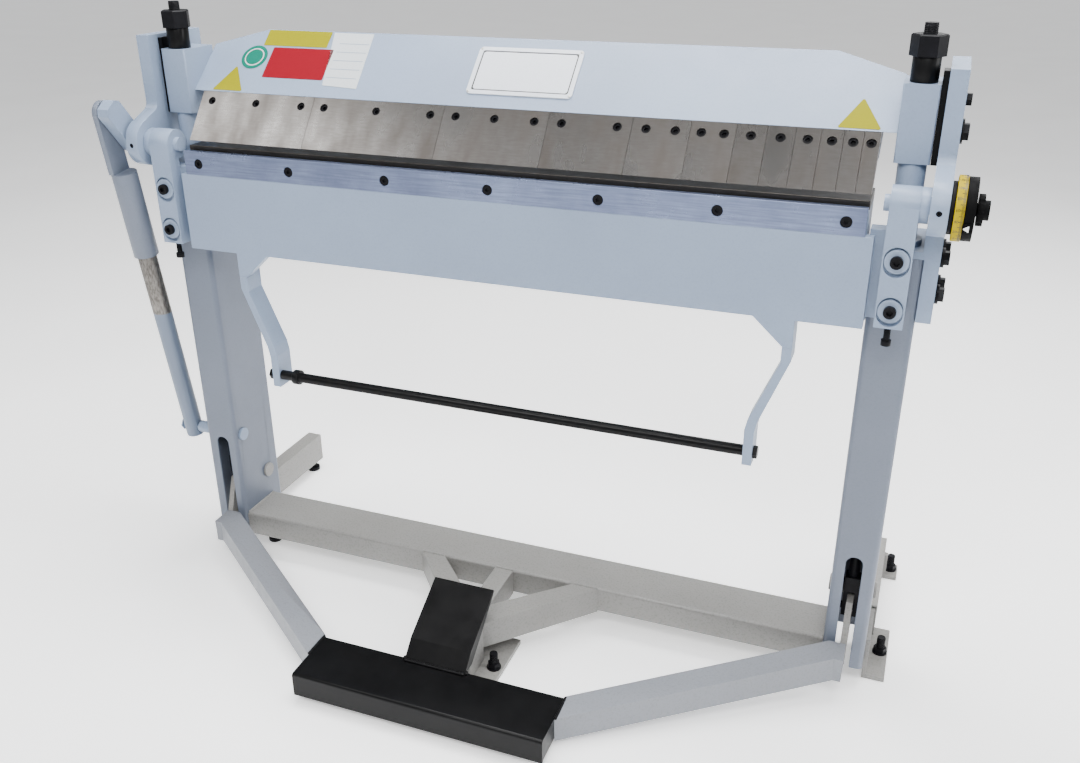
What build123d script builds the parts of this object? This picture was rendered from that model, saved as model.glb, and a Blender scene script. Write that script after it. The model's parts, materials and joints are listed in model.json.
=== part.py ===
"""Foot-operated box-and-pan sheet metal brake, 1270 mm working length.

Frame: X along the fold line, +X to the right of a person at the machine, front towards -Y,
+Z up, origin on the floor below the middle of the machine's bounding box.
In the helpers below y is measured backwards from the front face of the columns.
Paired left and right pieces share one node as two solids.
"""
from build123d import *
import math
import os

# ---- driving dimensions, mm ---------------------------------------------------------------
column_y = -18.0            # front face of the columns in the machine frame
length = 1270.0             # working length
finger_widths = (250, 270, 200, 150, 100, 75, 50, 45, 40, 35, 30, 25)

# columns and base
col_in, col_out = 648.0, 725.0
col_depth, col_wall = 142.0, 5.0
col_bottom, col_top = 44.0, 866.0
cap_thick = 12.0
slot_x, slot_width, slot_top = 685.5, 30.0, 288.0
beam_low, beam_high = 40.0, 96.5
foot_beam_y = (4.0, 112.0)
nose_x, nose_y = (-40.0, 25.0), (-248.0, -183.0)
foot_x, foot_y, foot_z = (701.0, 737.0), (142.0, 405.0), (26.0, 96.0)
lug_back = 441.0
anchor_r = 8.0

# hinge line and apron
axis_y, axis_z = -30.0, 948.0
pin_r, pin_in = 13.0, 655.0
eye_r = 28.0
block_x, block_bottom = (664.0, 708.0), 754.0
apron_y = (-50.4, -30.4)
bar_half, bar_thick, bar_z = 634.5, 12.0, (895.8, 940.6)
tongue_top = 934.0
apron_half, apron_bottom, tab_bottom = 648.0, 745.5, 697.5
clamp_x, clamp_z = 686.0, (864.0, 783.0)
washer_r, washer_thick = 19.0, 8.0
set_down, set_up = 6.0, 3.0     # room for the clamp screws below and above their place
arm_thick, arm_x, arm_low_x = 17.0, 525.0, 475.0
arm_back = -5.0
rod_y, rod_z, rod_r = -40.0, 490.0, 10.0

# cheeks
cheek_x, cheek_y, cheek_z = (722.0, 749.0), (0.0, 157.0), (749.0, 1144.0)
cheek_eye_r = 45.0

# clamp beam, fingers, lifting gear
tip = (-27.3, 957.0)
finger_top = (36.3, 1040.6)
finger_thick = 22.0
screw_down = 20.0           # from a finger's top edge to its screws, along the slope
face_angle, face_thick = 43.0, 10.0
face_rise, face_end_rise, face_corner = 156.0, 114.5, 546.0
beam_half, beam_back_y = 658.0, 150.0
base_thick = 12.0
post_x, post_y, post_r = 686.0, 45.0, 22.0
guide_x, guide_y, guide_z = (658.0, 712.0), (20.0, 110.0), (998.0, 1118.0)
guide_roof = 1104.0
lift_r, lift_top = 10.0, 1204.0
lift_spring_z, set_spring_z = (572.0, 760.0), (1072.0, 1104.0)
sleeve_top, nut_height = 1156.0, 32.0
running = 0.05              # radial clearance of a running fit
free = 0.5                  # clearance between parts that only pass each other

# counterbalance strut on the left, pivoting on the left column
strut_x, strut_r, strut_rod_r = -780.0, 25.0, 19.0
strut_foot = (24.0, 292.0)
crank_length, crank_angle = 75.0, 127.0
crank_x = (-782.0, -757.0)
strut_lug_x = (-797.0, -785.0)
strut_tube_s, strut_rod_end = (426.0, 604.0), 498.0

# foot pedal
pedal_pivot = (97.0, 163.0)
pedal_pin = (45.0, 152.0)
treadle_x, treadle_y, treadle_z = (-268.0, 232.0), (-405.0, -289.0), (14.5, 63.5)
hood_x = (-89.0, 37.0)
tube = 50.0

os.makedirs("parts", exist_ok=True)


# ---- helpers ------------------------------------------------------------------------------
def level(z):
    """Horizontal sketch plane: (x, y), extrudes upwards."""
    return Plane(origin=(0, column_y, z), x_dir=(1, 0, 0), z_dir=(0, 0, 1))


def side(x):
    """Sketch plane across the machine: (y, z), extrudes to the right."""
    return Plane(origin=(x, column_y, 0), x_dir=(0, 1, 0), z_dir=(1, 0, 0))


def front(y):
    """Upright sketch plane facing the front: (x, z), extrudes forwards."""
    return Plane(origin=(0, column_y + y, 0), x_dir=(1, 0, 0), z_dir=(0, -1, 0))


def span(sign, lo, hi):
    """The x range lo..hi on the right, mirrored to the left for sign -1."""
    return (lo, hi) if sign > 0 else (-hi, -lo)


def block(xs, ys, zs, mode=Mode.ADD):
    """Box between two x, two y and two z values."""
    with BuildSketch(level(zs[0])) as outline:
        with Locations(((xs[0] + xs[1]) / 2, (ys[0] + ys[1]) / 2)):
            Rectangle(xs[1] - xs[0], ys[1] - ys[0])
    extrude(outline.sketch, amount=zs[1] - zs[0], mode=mode)


def along_x(points, xs, mode=Mode.ADD):
    """(y, z) outline extruded between two x values."""
    with BuildSketch(side(xs[0])) as outline:
        with BuildLine():
            Polyline(*points, close=True)
        make_face()
    extrude(outline.sketch, amount=xs[1] - xs[0], mode=mode)


def along_y(points, ys, mode=Mode.ADD):
    """(x, z) outline extruded between two y values."""
    with BuildSketch(front(ys[1])) as outline:
        with BuildLine():
            Polyline(*points, close=True)
        make_face()
    extrude(outline.sketch, amount=ys[1] - ys[0], mode=mode)


def along_z(points, zs, mode=Mode.ADD):
    """(x, y) outline extruded between two heights."""
    with BuildSketch(level(zs[0])) as outline:
        with BuildLine():
            Polyline(*points, close=True)
        make_face()
    extrude(outline.sketch, amount=zs[1] - zs[0], mode=mode)


def round_x(y, z, r, xs, mode=Mode.ADD, sides=0):
    """Cylinder along X, or a prism of so many sides."""
    with BuildSketch(side(xs[0])) as outline:
        with Locations((y, z)):
            RegularPolygon(r, sides) if sides else Circle(r)
    extrude(outline.sketch, amount=xs[1] - xs[0], mode=mode)


def round_y(x, z, r, ys, mode=Mode.ADD, sides=0):
    """Cylinder along Y, or a prism of so many sides."""
    with BuildSketch(front(ys[1])) as outline:
        with Locations((x, z)):
            RegularPolygon(r, sides) if sides else Circle(r)
    extrude(outline.sketch, amount=ys[1] - ys[0], mode=mode)


def round_z(x, y, r, zs, mode=Mode.ADD, sides=0):
    """Upright cylinder, or a prism of so many sides."""
    with BuildSketch(level(zs[0])) as outline:
        with Locations((x, y)):
            RegularPolygon(r, sides) if sides else Circle(r)
    extrude(outline.sketch, amount=zs[1] - zs[0], mode=mode)


def save(piece, label):
    """Write a finished piece to its own file."""
    piece.part.label = label
    export_step(piece.part, f"parts/{label}.step")


both = (-1, 1)


# ---- columns and base ---------------------------------------------------------------------
def make_columns():
    """Folded rectangular columns, open below, with a round-topped slot in the front face."""
    with BuildPart() as columns:
        for sign in both:
            mid = sign * (col_in + col_out) / 2
            wide = col_out - col_in
            with BuildSketch(level(col_bottom)) as wall:
                with Locations((mid, col_depth / 2)):
                    RectangleRounded(wide, col_depth, 9)
                    RectangleRounded(wide - 2 * col_wall, col_depth - 2 * col_wall, 4, mode=Mode.SUBTRACT)
            extrude(wall.sketch, amount=col_top - cap_thick - col_bottom)
            round_top = slot_top - slot_width / 2
            slot = span(sign, slot_x - slot_width / 2, slot_x + slot_width / 2)
            block(slot, (-1, col_wall + 1), (col_bottom - 1, round_top), Mode.SUBTRACT)
            round_y(sign * slot_x, round_top, slot_width / 2, (-1, col_wall + 1), Mode.SUBTRACT)
            round_x(*pedal_pivot, 10, span(sign, col_in - 1, col_out + 1), Mode.SUBTRACT)
        round_x(*strut_foot, 8, (-col_out - 1, -col_in + 1), Mode.SUBTRACT)
    save(columns, "columns")


def make_column_plates():
    """Top plate of each column and the lift spring's seat inside it, holed for the lift rod."""
    seat_z = lift_spring_z[0]
    with BuildPart() as plates:
        for sign in both:
            block(span(sign, col_in, col_out), (0, col_depth), (col_top - cap_thick, col_top))
            with BuildSketch(level(seat_z - 12)) as seat:
                with Locations((sign * (col_in + col_out) / 2, col_depth / 2)):
                    RectangleRounded(col_out - col_in - 2 * col_wall, col_depth - 2 * col_wall, 4)
            extrude(seat.sketch, amount=12)
            round_z(sign * post_x, post_y, lift_r + free, (seat_z - 12, col_top), Mode.SUBTRACT)
    save(plates, "column_plates")


def make_guide_posts():
    """Round posts that the clamp beam slides on; the lift rods run through them."""
    with BuildPart() as posts:
        for sign in both:
            round_z(sign * post_x, post_y, post_r, (col_top, 1056))
            round_z(sign * post_x, post_y, 31, (col_top, col_top + 10))
            round_z(sign * post_x, post_y, lift_r + free, (col_top, 1056), Mode.SUBTRACT)
    save(posts, "guide_posts")


def make_cheeks():
    """Thick side plates bolted to the columns, with a forward eye round the hinge line."""
    y0, y1 = cheek_y
    z0, z1 = cheek_z
    eye_front = axis_y - cheek_eye_r
    eye_mid = sum(cheek_x) / 2
    with BuildPart() as cheeks:
        for sign in both:
            xs = span(sign, *cheek_x)
            with BuildSketch(side(xs[0])) as outline:
                with BuildLine():
                    Polyline((axis_y, axis_z - cheek_eye_r), (y0, axis_z - cheek_eye_r), (y0, z0),
                             (y1 - 15, z0), (y1 - 15, 900), (y1, 930), (y1, z1), (y0, z1), (y0, 1022))
                    Spline((y0, 1022), (-20, 1001), (-50, axis_z + 40), tangents=((0, -1), (-1, -0.35)))
                    Polyline((-50, axis_z + 40), (axis_y, axis_z), (axis_y, axis_z - cheek_eye_r))
                make_face()
                with Locations((axis_y, axis_z)):
                    Circle(cheek_eye_r)
            extrude(outline.sketch, amount=xs[1] - xs[0])
            block(span(sign, cheek_x[0], col_out), (y0 - 1, col_depth), (z0, col_top), Mode.SUBTRACT)
            round_x(axis_y, axis_z, pin_r + 4, xs, Mode.SUBTRACT)
            round_y(sign * eye_mid, axis_z, 4.5, (eye_front - 2, eye_front + 7), Mode.SUBTRACT)
    save(cheeks, "cheeks")


def make_cheek_bolts():
    """Hex bolts of the cheeks, guide strips and bed end plates, and the eyes' set screws."""
    x0 = cheek_x[1]
    eye_front = axis_y - cheek_eye_r
    eye_mid = sum(cheek_x) / 2
    low_y = {-1: (86, 122), 1: (50, 104)}
    with BuildPart() as bolts:
        for sign in both:
            for y in low_y[sign]:
                for z in (784, 846):
                    round_x(y, z, 16, span(sign, x0, x0 + 6))
                    round_x(y, z, 12, span(sign, x0 + 6, x0 + 14), sides=6)
            round_x(50, 1095, 10, span(sign, x0, x0 + 9), sides=6)
            round_x(50, 1047, 19, span(sign, x0, x0 + 4))
            round_x(50, 1047, 14, span(sign, x0 + 4, x0 + 12), sides=6)
            round_y(sign * eye_mid, axis_z, 4.5, (eye_front + 1, eye_front + 7))
            round_y(sign * eye_mid, axis_z, 2.5, (eye_front + 1, eye_front + 4), Mode.SUBTRACT, sides=6)
        for sign in both:
            for y in (72, 90):
                for z in (770, 834):
                    round_x(y, z, 9, span(sign, length / 2 - 7, length / 2), sides=6)
    save(bolts, "frame_bolts")


def make_guide_strips():
    """Wear strips between the cheeks and the guide blocks."""
    with BuildPart() as strips:
        for sign in both:
            block(span(sign, guide_x[1] + free, cheek_x[0]), (28, 62), (996, 1138))
    save(strips, "guide_strips")


def make_pivot_bushes():
    """Bushes of the hinge pins in the cheeks' eyes."""
    with BuildPart() as bushes:
        for sign in both:
            round_x(axis_y, axis_z, pin_r + 4, span(sign, *cheek_x))
            round_x(axis_y, axis_z, pin_r + running, span(sign, *cheek_x), Mode.SUBTRACT)
    save(bushes, "pivot_bushes")


def make_bed():
    """Bed plate whose front top edge is the fold line, on a box beam between the columns."""
    half = length / 2
    front_y, back_y, low, high = -29.6, 60.0, 742.0, 933.0
    with BuildPart() as bed_plate:
        block((-half, half), (axis_y, back_y), (high, axis_z))
    save(bed_plate, "bed_plate")
    with BuildPart() as bed_beam:
        block((-half, half), (front_y, back_y), (low, high))
        for x in (-476.25, -158.75, 158.75, 476.25):
            block((x - 154, x + 154), (front_y + 12, back_y - 10), (low + 10, high - 8), Mode.SUBTRACT)
        for sign in both:
            block(span(sign, half, col_in), (2, 100), (low, 862))
    save(bed_beam, "bed_beam")


def make_base():
    """Foot beam, K-shaped truss with a front nose, rear feet and floor plates."""
    with BuildPart() as foot_beam:
        with BuildSketch(side(-col_in)) as tube:
            with Locations((sum(foot_beam_y) / 2, (beam_low + beam_high) / 2)):
                wide, high = foot_beam_y[1] - foot_beam_y[0], beam_high - beam_low
                RectangleRounded(wide, high, 6)
                RectangleRounded(wide - 10, high - 10, 3, mode=Mode.SUBTRACT)
        extrude(tube.sketch, amount=2 * col_in)
    save(foot_beam, "foot_beam")

    mid_x = sum(nose_x) / 2
    back = foot_beam_y[0]
    with BuildPart() as truss_bars:
        for sign, corner in ((-1, nose_x[0]), (1, nose_x[1])):
            along_z(((sign * 200, back), (sign * 146, back), (mid_x + sign * 20, -122),
                     (mid_x + sign * 20, nose_y[1]), (corner, nose_y[1])), (beam_low, beam_high))
        block((mid_x - 20, mid_x + 20), (nose_y[1], back), (beam_low, beam_high))
        block(nose_x, nose_y, (10, beam_high))
    save(truss_bars, "truss_bars")

    with BuildPart() as rear_feet:
        for sign in both:
            block(span(sign, *foot_x), foot_y, foot_z)
            inner = span(sign, foot_x[0] + 4, foot_x[1] - 4)
            block(inner, (foot_y[0], foot_y[1] - 4), (foot_z[0] + 4, foot_z[1] - 4), Mode.SUBTRACT)
            round_z(sign * 719, 384, 7, (foot_z[0], foot_z[0] + 4), Mode.SUBTRACT)
    save(rear_feet, "rear_feet")

    anchors = [(mid_x - 60, -197, 10), (mid_x + 60, -197, 10)]
    anchors += [(sign * 753, 115, 9) for sign in both] + [(sign * 752, 420, 9) for sign in both]
    with BuildPart() as floor_plates:
        block((mid_x - 78, mid_x + 78), (-245, -100), (0, 10))
        for sign in both:
            block(span(sign, col_out, 768), (35, 193), (0, 9))
            block(span(sign, col_out, col_out + 8), (35, 142), (9, 90))
            block(span(sign, foot_x[1], 768), (391, lug_back), (0, 9))
            block(span(sign, foot_x[1], foot_x[1] + 7), (391, 405), (9, 60))
        for x, y, top in anchors:
            round_z(x, y, anchor_r, (0, top), Mode.SUBTRACT)
    save(floor_plates, "floor_plates")

    with BuildPart() as floor_bolts:
        for x, y, top in anchors:
            round_z(x, y, anchor_r, (0, top))
            round_z(x, y, 14, (top, top + 3))
            round_z(x, y, 12.5, (top + 3, top + 13), sides=6)
            round_z(x, y, 7.5, (top + 13, 45))
        for sign in both:
            for x, y, top in ((719, 384, foot_z[0] + 4), (620, 58, beam_low)):
                round_z(sign * x, y, 16, (0, 9))
                round_z(sign * x, y, 7, (9, top))
    save(floor_bolts, "floor_bolts")


def make_frame_pins():
    """Pedal pivot pins across the columns with round heads, and the pin of the strut's foot."""
    with BuildPart() as pedal_pins:
        for sign in both:
            round_x(*pedal_pivot, 10, span(sign, col_in - 1, col_out + 1))
            round_x(*pedal_pivot, 16, span(sign, col_in - 6, col_in))
            round_x(*pedal_pivot, 16, span(sign, col_out, col_out + 5))
            round_x(*pedal_pivot, 16, span(sign, col_in + col_wall, 675.5))
            round_x(*pedal_pivot, 16, span(sign, 696.5, col_out - col_wall))
    save(pedal_pins, "pedal_pins")
    with BuildPart() as strut_foot_pin:
        round_x(*strut_foot, 8, (strut_x - 21, -col_in))
        round_x(*strut_foot, 14, (-col_in, -col_in + 6))
        round_x(*strut_foot, 13, (strut_x + 22, -col_out))
        round_x(*strut_foot, 14, (strut_x - 24, strut_x - 21), sides=6)
    save(strut_foot_pin, "strut_foot_pin")


# ---- lifting gear -------------------------------------------------------------------------
def coil(x, wire_r, coil_r, zs, pitch):
    """Round-wire compression spring about a lift rod."""
    low, high = zs[0] + wire_r, zs[1] - wire_r
    start = Plane(origin=(x, column_y + post_y, low), x_dir=(1, 0, 0), z_dir=(0, 0, 1))
    with BuildLine(start) as path:
        Helix(pitch=pitch, height=high - low, radius=coil_r)
    with BuildSketch(Plane(origin=path.line @ 0, x_dir=(1, 0, 0), z_dir=path.line % 0)) as wire:
        Circle(wire_r)
    sweep(wire.sketch, path=path.line, is_frenet=True)


def make_lifting_gear():
    """Lift rods from the clevises inside the columns to the threaded tops above the nuts."""
    with BuildPart() as lift_rods:
        for sign in both:
            round_z(sign * post_x, post_y, lift_r, (196, lift_top))
            round_z(sign * post_x, post_y, 20, (lift_spring_z[1], lift_spring_z[1] + 8))
            round_z(sign * post_x, post_y, 20, (set_spring_z[0] - 6, set_spring_z[0]))
    save(lift_rods, "lift_rods")
    with BuildPart() as rod_clevises:
        for sign in both:
            block(span(sign, 672, 700), (post_y - 13, post_y + 13), (138, 222))
            block(span(sign, 679.5, 692.5), (post_y - 14, post_y + 14), (137, 190), Mode.SUBTRACT)
            round_z(sign * post_x, post_y, lift_r, (196, 222), Mode.SUBTRACT)
            round_x(*pedal_pin, 7, span(sign, 669, 703))
    save(rod_clevises, "rod_clevises")
    with BuildPart() as lift_springs:
        for sign in both:
            coil(sign * post_x, 2.2, 16, lift_spring_z, 14.6)
    save(lift_springs, "lift_springs")
    with BuildPart() as set_springs:
        for sign in both:
            coil(sign * post_x, 1.7, 15.5, set_spring_z, 7.2)
    save(set_springs, "set_springs")


# ---- clamp beam ---------------------------------------------------------------------------
def unit(a, b):
    """Unit direction from one (y, z) point to another."""
    size = math.hypot(b[0] - a[0], b[1] - a[1])
    return ((b[0] - a[0]) / size, (b[1] - a[1]) / size)


def shift(point, direction, distance):
    """Point a distance along a direction."""
    return (point[0] + direction[0] * distance, point[1] + direction[1] * distance)


finger_up = unit(tip, finger_top)
finger_in = (finger_up[1], -finger_up[0])                    # from the front of a finger to its back
face_up = (math.cos(math.radians(face_angle)), math.sin(math.radians(face_angle)))
face_in = (face_up[1], -face_up[0])
finger_level = finger_thick / math.sin(math.atan2(finger_up[1], finger_up[0]))   # thickness on the level
face_level = face_thick / math.sin(math.radians(face_angle))
finger_back_top = (finger_top[0] + finger_level, finger_top[1])


def face_front(rise):
    """Point on the face plate's outer surface, a distance up its slope."""
    return shift(finger_top, face_up, rise)


def make_beam():
    """Closed beam: sloped face plate with cut corners, level base over the fingers, back plate, ribs."""
    base_top = finger_top[1] + base_thick
    inner_foot = (finger_top[0] + face_level, finger_top[1])
    along_slope = base_thick / face_up[1]
    inner_knee = shift(inner_foot, face_up, along_slope)
    top = face_front(face_rise)
    with BuildPart() as beam_face:
        along_x((finger_top, top, shift(top, face_in, face_thick), inner_foot), (-beam_half, beam_half))
        for sign in both:
            cut = [face_front(face_end_rise), face_front(face_rise)]
            reach = beam_half - face_corner
            with BuildSketch(Plane(origin=(sign * beam_half, column_y + cut[0][0], cut[0][1]),
                                   x_dir=(1, 0, 0), z_dir=(0, -face_in[0], -face_in[1]))) as corner:
                with BuildLine():
                    Polyline((0, 0), (sign * 10, 0), (sign * 10, 60), (-sign * reach, 60),
                             (-sign * reach, face_rise - face_end_rise), close=True)
                make_face()
            extrude(corner.sketch, amount=face_thick + 5, both=True, mode=Mode.SUBTRACT)
    save(beam_face, "beam_face")

    with BuildPart() as beam_base:
        along_x((inner_foot, inner_knee, (beam_back_y - 10, base_top), (beam_back_y - 10, finger_top[1])),
                (-beam_half, beam_half))
        seat_low = shift(finger_back_top, finger_up, -54)
        along_x((finger_back_top, (finger_back_top[0] + 44, finger_top[1]), (seat_low[0] + 22, seat_low[1]),
                 seat_low), (-length / 2, length / 2))
    save(beam_base, "beam_base")

    inner_top = shift(top, face_in, face_thick)
    reach = (beam_back_y - 10 - inner_top[0]) / face_up[0]
    meet = shift(inner_top, face_up, reach)
    end_z = meet[1] - 31
    with BuildPart() as beam_back:
        y0, y1 = beam_back_y - 10, beam_back_y
        along_y(((-beam_half, finger_top[1]), (beam_half, finger_top[1]), (beam_half, end_z),
                 (face_corner, meet[1]), (-face_corner, meet[1]), (-beam_half, end_z)), (y0, y1))
        for x in (-500, -250, 0, 250, 500):
            along_x((inner_knee, (y0, base_top), (y0, meet[1])), (x - 4, x + 4))
    save(beam_back, "beam_back")


def make_guide_blocks():
    """Blocks bored to slide on the posts, closed above but for the lift rod."""
    with BuildPart() as guide_blocks:
        for sign in both:
            block(span(sign, *guide_x), guide_y, guide_z)
        fillet(guide_blocks.edges().filter_by(Axis.Z), 3)
        for sign in both:
            round_z(sign * post_x, post_y, post_r + running, (guide_z[0], guide_roof), Mode.SUBTRACT)
            round_z(sign * post_x, post_y, lift_r + running, guide_z, Mode.SUBTRACT)
    save(guide_blocks, "guide_blocks")
    with BuildPart() as clamp_sleeves:
        for sign in both:
            round_z(sign * post_x, post_y, 21, (guide_z[1], sleeve_top))
            round_z(sign * post_x, post_y, lift_r + free, (guide_z[1], sleeve_top), Mode.SUBTRACT)
    save(clamp_sleeves, "clamp_sleeves")


def finger_starts():
    starts = [-length / 2]
    for width in finger_widths[:-1]:
        starts.append(starts[-1] + width)
    return starts


def screw_offsets(width):
    """Three screws in the widest fingers, two in the middle ones, one in the narrow ones."""
    margin = min(width / 4, 25)
    if width >= 200:
        return (margin, width / 2, width - margin)
    if width >= 75:
        return (margin, width - margin)
    return (width / 2,)


def make_fingers():
    """Bevelled fingers side by side, each held by socket screws; the five narrowest share a node."""
    low_rise = 22.0
    profile = (tip, (tip[0] + 17, tip[1]), shift(finger_back_top, finger_up, low_rise - 104.5),
               finger_back_top, finger_top)
    seam = 0.3
    pieces = list(zip(finger_starts(), finger_widths))
    groups = [(f"finger_{index:02d}", [piece]) for index, piece in enumerate(pieces[:7], start=1)]
    groups.append(("fingers_narrow", pieces[7:]))
    for name, members in groups:
        with BuildPart() as finger:
            for start, width in members:
                along_x(profile, (start + seam, start + width - seam))
                for offset in screw_offsets(width):
                    screw_hole(start + offset, 8, 0, 12, Mode.SUBTRACT)
                    screw_hole(start + offset, 5, 11, finger_thick, Mode.SUBTRACT)
        save(finger, name)

    with BuildPart() as finger_screws:
        for start, width in pieces:
            for offset in screw_offsets(width):
                screw_hole(start + offset, 7.8, 3, 12, Mode.ADD)
                screw_hole(start + offset, 4.8, 12, finger_thick, Mode.ADD)
                screw_hole(start + offset, 4.5, 3, 8, Mode.SUBTRACT, sides=6)
    save(finger_screws, "finger_screws")


def screw_hole(x, r, depth0, depth1, mode, sides=0):
    """Round or hexagonal cut or peg square to the fingers' sloped front."""
    centre = shift(finger_top, finger_up, -screw_down)
    deep = shift(centre, finger_in, depth1)
    plane = Plane(origin=(x, column_y + deep[0], deep[1]), x_dir=(1, 0, 0),
                  z_dir=(0, -finger_in[0], -finger_in[1]))
    with BuildSketch(plane) as outline:
        RegularPolygon(r, sides) if sides else Circle(r)
    extrude(outline.sketch, amount=depth1 - depth0, mode=mode)


def make_name_plate():
    """Blank framed plate riveted to the beam's face."""
    centre = face_front(80)
    plane = Plane(origin=(16, column_y + centre[0], centre[1]), x_dir=(1, 0, 0),
                  z_dir=(0, -face_in[0], -face_in[1]))
    with BuildPart() as name_plate:
        with BuildSketch(plane):
            RectangleRounded(200, 104, 8)
        extrude(amount=2.5)
        with BuildSketch(plane.offset(2.5)):
            RectangleRounded(184, 88, 4)
        extrude(amount=-1, mode=Mode.SUBTRACT)
    save(name_plate, "name_plate")


def make_nuts():
    """Long hex nuts that set the clamping height."""
    heights = (sleeve_top, sleeve_top + nut_height)
    for sign, name in ((-1, "clamp_nut_left"), (1, "clamp_nut_right")):
        with BuildPart() as nut:
            round_z(sign * post_x, post_y, 27.5, heights, sides=6)
            round_z(sign * post_x, post_y, lift_r + running, heights, Mode.SUBTRACT)
            chamfer(nut.faces().sort_by(Axis.Z)[-1].edges().filter_by(GeomType.LINE), 2)
        save(nut, name)


# ---- apron --------------------------------------------------------------------------------
bar_screw_z = 917.0


def bar_screw_xs():
    return [-604 + index * 1208 / 6 for index in range(7)]


def make_apron():
    """Folding apron: plate with tabs, steel edge bar, end lugs, joggled arms and hand rod."""
    y0, y1 = apron_y
    step = y0 + bar_thick
    low = tab_bottom
    outer = arm_x + arm_thick
    with BuildPart() as apron_plate:
        along_y(((-apron_half, apron_bottom), (-outer, apron_bottom), (-outer, low), (-arm_x, low),
                 (-473, apron_bottom), (473, apron_bottom), (arm_x, low), (outer, low),
                 (outer, apron_bottom), (apron_half, apron_bottom), (apron_half, bar_z[0]),
                 (-apron_half, bar_z[0])), (y0, y1))
        block((-apron_half + 12, apron_half - 12), (step, y1), (bar_z[0], tongue_top))
        for x in bar_screw_xs():
            round_y(x, bar_screw_z, 5, (step, y1), Mode.SUBTRACT)
    save(apron_plate, "apron_plate")

    with BuildPart() as apron_bar:
        block((-bar_half, bar_half), (y0, step), bar_z)
        for x in bar_screw_xs():
            round_y(x, bar_screw_z, 9.5, (y0, y0 + 7), Mode.SUBTRACT)
            round_y(x, bar_screw_z, 5, (y0 + 7, step), Mode.SUBTRACT)
    save(apron_bar, "apron_bar")

    with BuildPart() as bar_screws:
        for x in bar_screw_xs():
            round_y(x, bar_screw_z, 9.2, (y0 + 1.5, y0 + 7))
            round_y(x, bar_screw_z, 4.9, (y0 + 7, y1 - 1))
            round_y(x, bar_screw_z, 4.5, (y0 + 1.5, y0 + 4.5), Mode.SUBTRACT, sides=6)
    save(bar_screws, "bar_screws")

    with BuildPart() as apron_lugs:
        for sign in both:
            block(span(sign, 640, 708), (y1, -2), (760, 905))
            for z in clamp_z:
                round_y(sign * clamp_x, z, 8, (y1, -2), Mode.SUBTRACT)
    save(apron_lugs, "apron_lugs")

    with BuildPart() as apron_arms:
        for sign in both:
            points = [(outer, low), (arm_x, low), (arm_x, 668), (arm_low_x + 4, 555), (arm_low_x, 535),
                      (arm_low_x, 466), (arm_low_x + arm_thick, 466), (arm_low_x + arm_thick, 530),
                      (arm_low_x + arm_thick + 4, 552), (outer, 672)]
            along_y([(sign * x, z) for x, z in points], (y0, arm_back))
            block(span(sign, arm_x, outer), (y1, arm_back), (low, 740))
            round_x(rod_y, rod_z, 7, span(sign, arm_low_x, arm_low_x + arm_thick), Mode.SUBTRACT)
    save(apron_arms, "apron_arms")

    with BuildPart() as hand_rod:
        round_x(rod_y, rod_z, rod_r, (-arm_low_x, arm_low_x))
        round_x(rod_y, rod_z, rod_r + 5, (-arm_low_x + 30, -arm_low_x + 44))
        for sign in both:
            round_x(rod_y, rod_z, 7, span(sign, arm_low_x, arm_low_x + arm_thick))
            round_x(rod_y, rod_z, 12, span(sign, arm_low_x + arm_thick, arm_low_x + arm_thick + 8), sides=6)
    save(hand_rod, "hand_rod")

    face = axis_y - eye_r
    with BuildPart() as clamp_washers:
        for sign in both:
            for z in clamp_z:
                round_y(sign * clamp_x, z, washer_r, (face - 1, face - 1 + washer_thick))
                round_y(sign * clamp_x, z, 8, (face - 1, face - 1 + washer_thick), Mode.SUBTRACT)
    save(clamp_washers, "clamp_washers")
    with BuildPart() as clamp_screws:
        for sign in both:
            for z in clamp_z:
                round_y(sign * clamp_x, z, 10, (face - 9, face - 1))
                round_y(sign * clamp_x, z, 5.5, (face - 9, face - 4), Mode.SUBTRACT, sides=6)
                round_y(sign * clamp_x, z, 8, (face - 1, -2))
    save(clamp_screws, "clamp_screws")


def make_hinge_blocks():
    """Blocks that hang from the hinge pins, with recessed slots for the apron's clamp screws."""
    back = apron_y[1] - 0.3
    face = axis_y - eye_r
    with BuildPart() as hinge_blocks:
        for sign in both:
            xs = span(sign, *block_x)
            block(xs, (face, back), (block_bottom, axis_z))
            round_x(axis_y, axis_z, eye_r, xs)
            for z in clamp_z:
                middle = z + (set_up - set_down) / 2
                travel = set_up + set_down
                with BuildSketch(front(face + washer_thick - 0.8)) as recess:
                    with Locations((sign * clamp_x, middle)):
                        SlotCenterToCenter(travel, 2 * washer_r + 1.6, rotation=90)
                extrude(recess.sketch, amount=washer_thick, mode=Mode.SUBTRACT)
                with BuildSketch(front(back)) as slot:
                    with Locations((sign * clamp_x, middle)):
                        SlotCenterToCenter(travel, 17.4, rotation=90)
                extrude(slot.sketch, amount=40, mode=Mode.SUBTRACT)
            round_x(axis_y, axis_z, pin_r, xs, Mode.SUBTRACT)
            round_z(sign * clamp_x, -43, 5 + running, (block_bottom, 766), Mode.SUBTRACT)
    save(hinge_blocks, "hinge_blocks")

    for sign, name in ((-1, "adjusting_screw_left"), (1, "adjusting_screw_right")):
        with BuildPart() as screw:
            round_z(sign * clamp_x, -43, 5, (729, 765))
            round_z(sign * clamp_x, -43, 8, (721, 730))
            round_z(sign * clamp_x, -43, 4.5, (721, 726), Mode.SUBTRACT, sides=6)
        save(screw, name)


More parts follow.
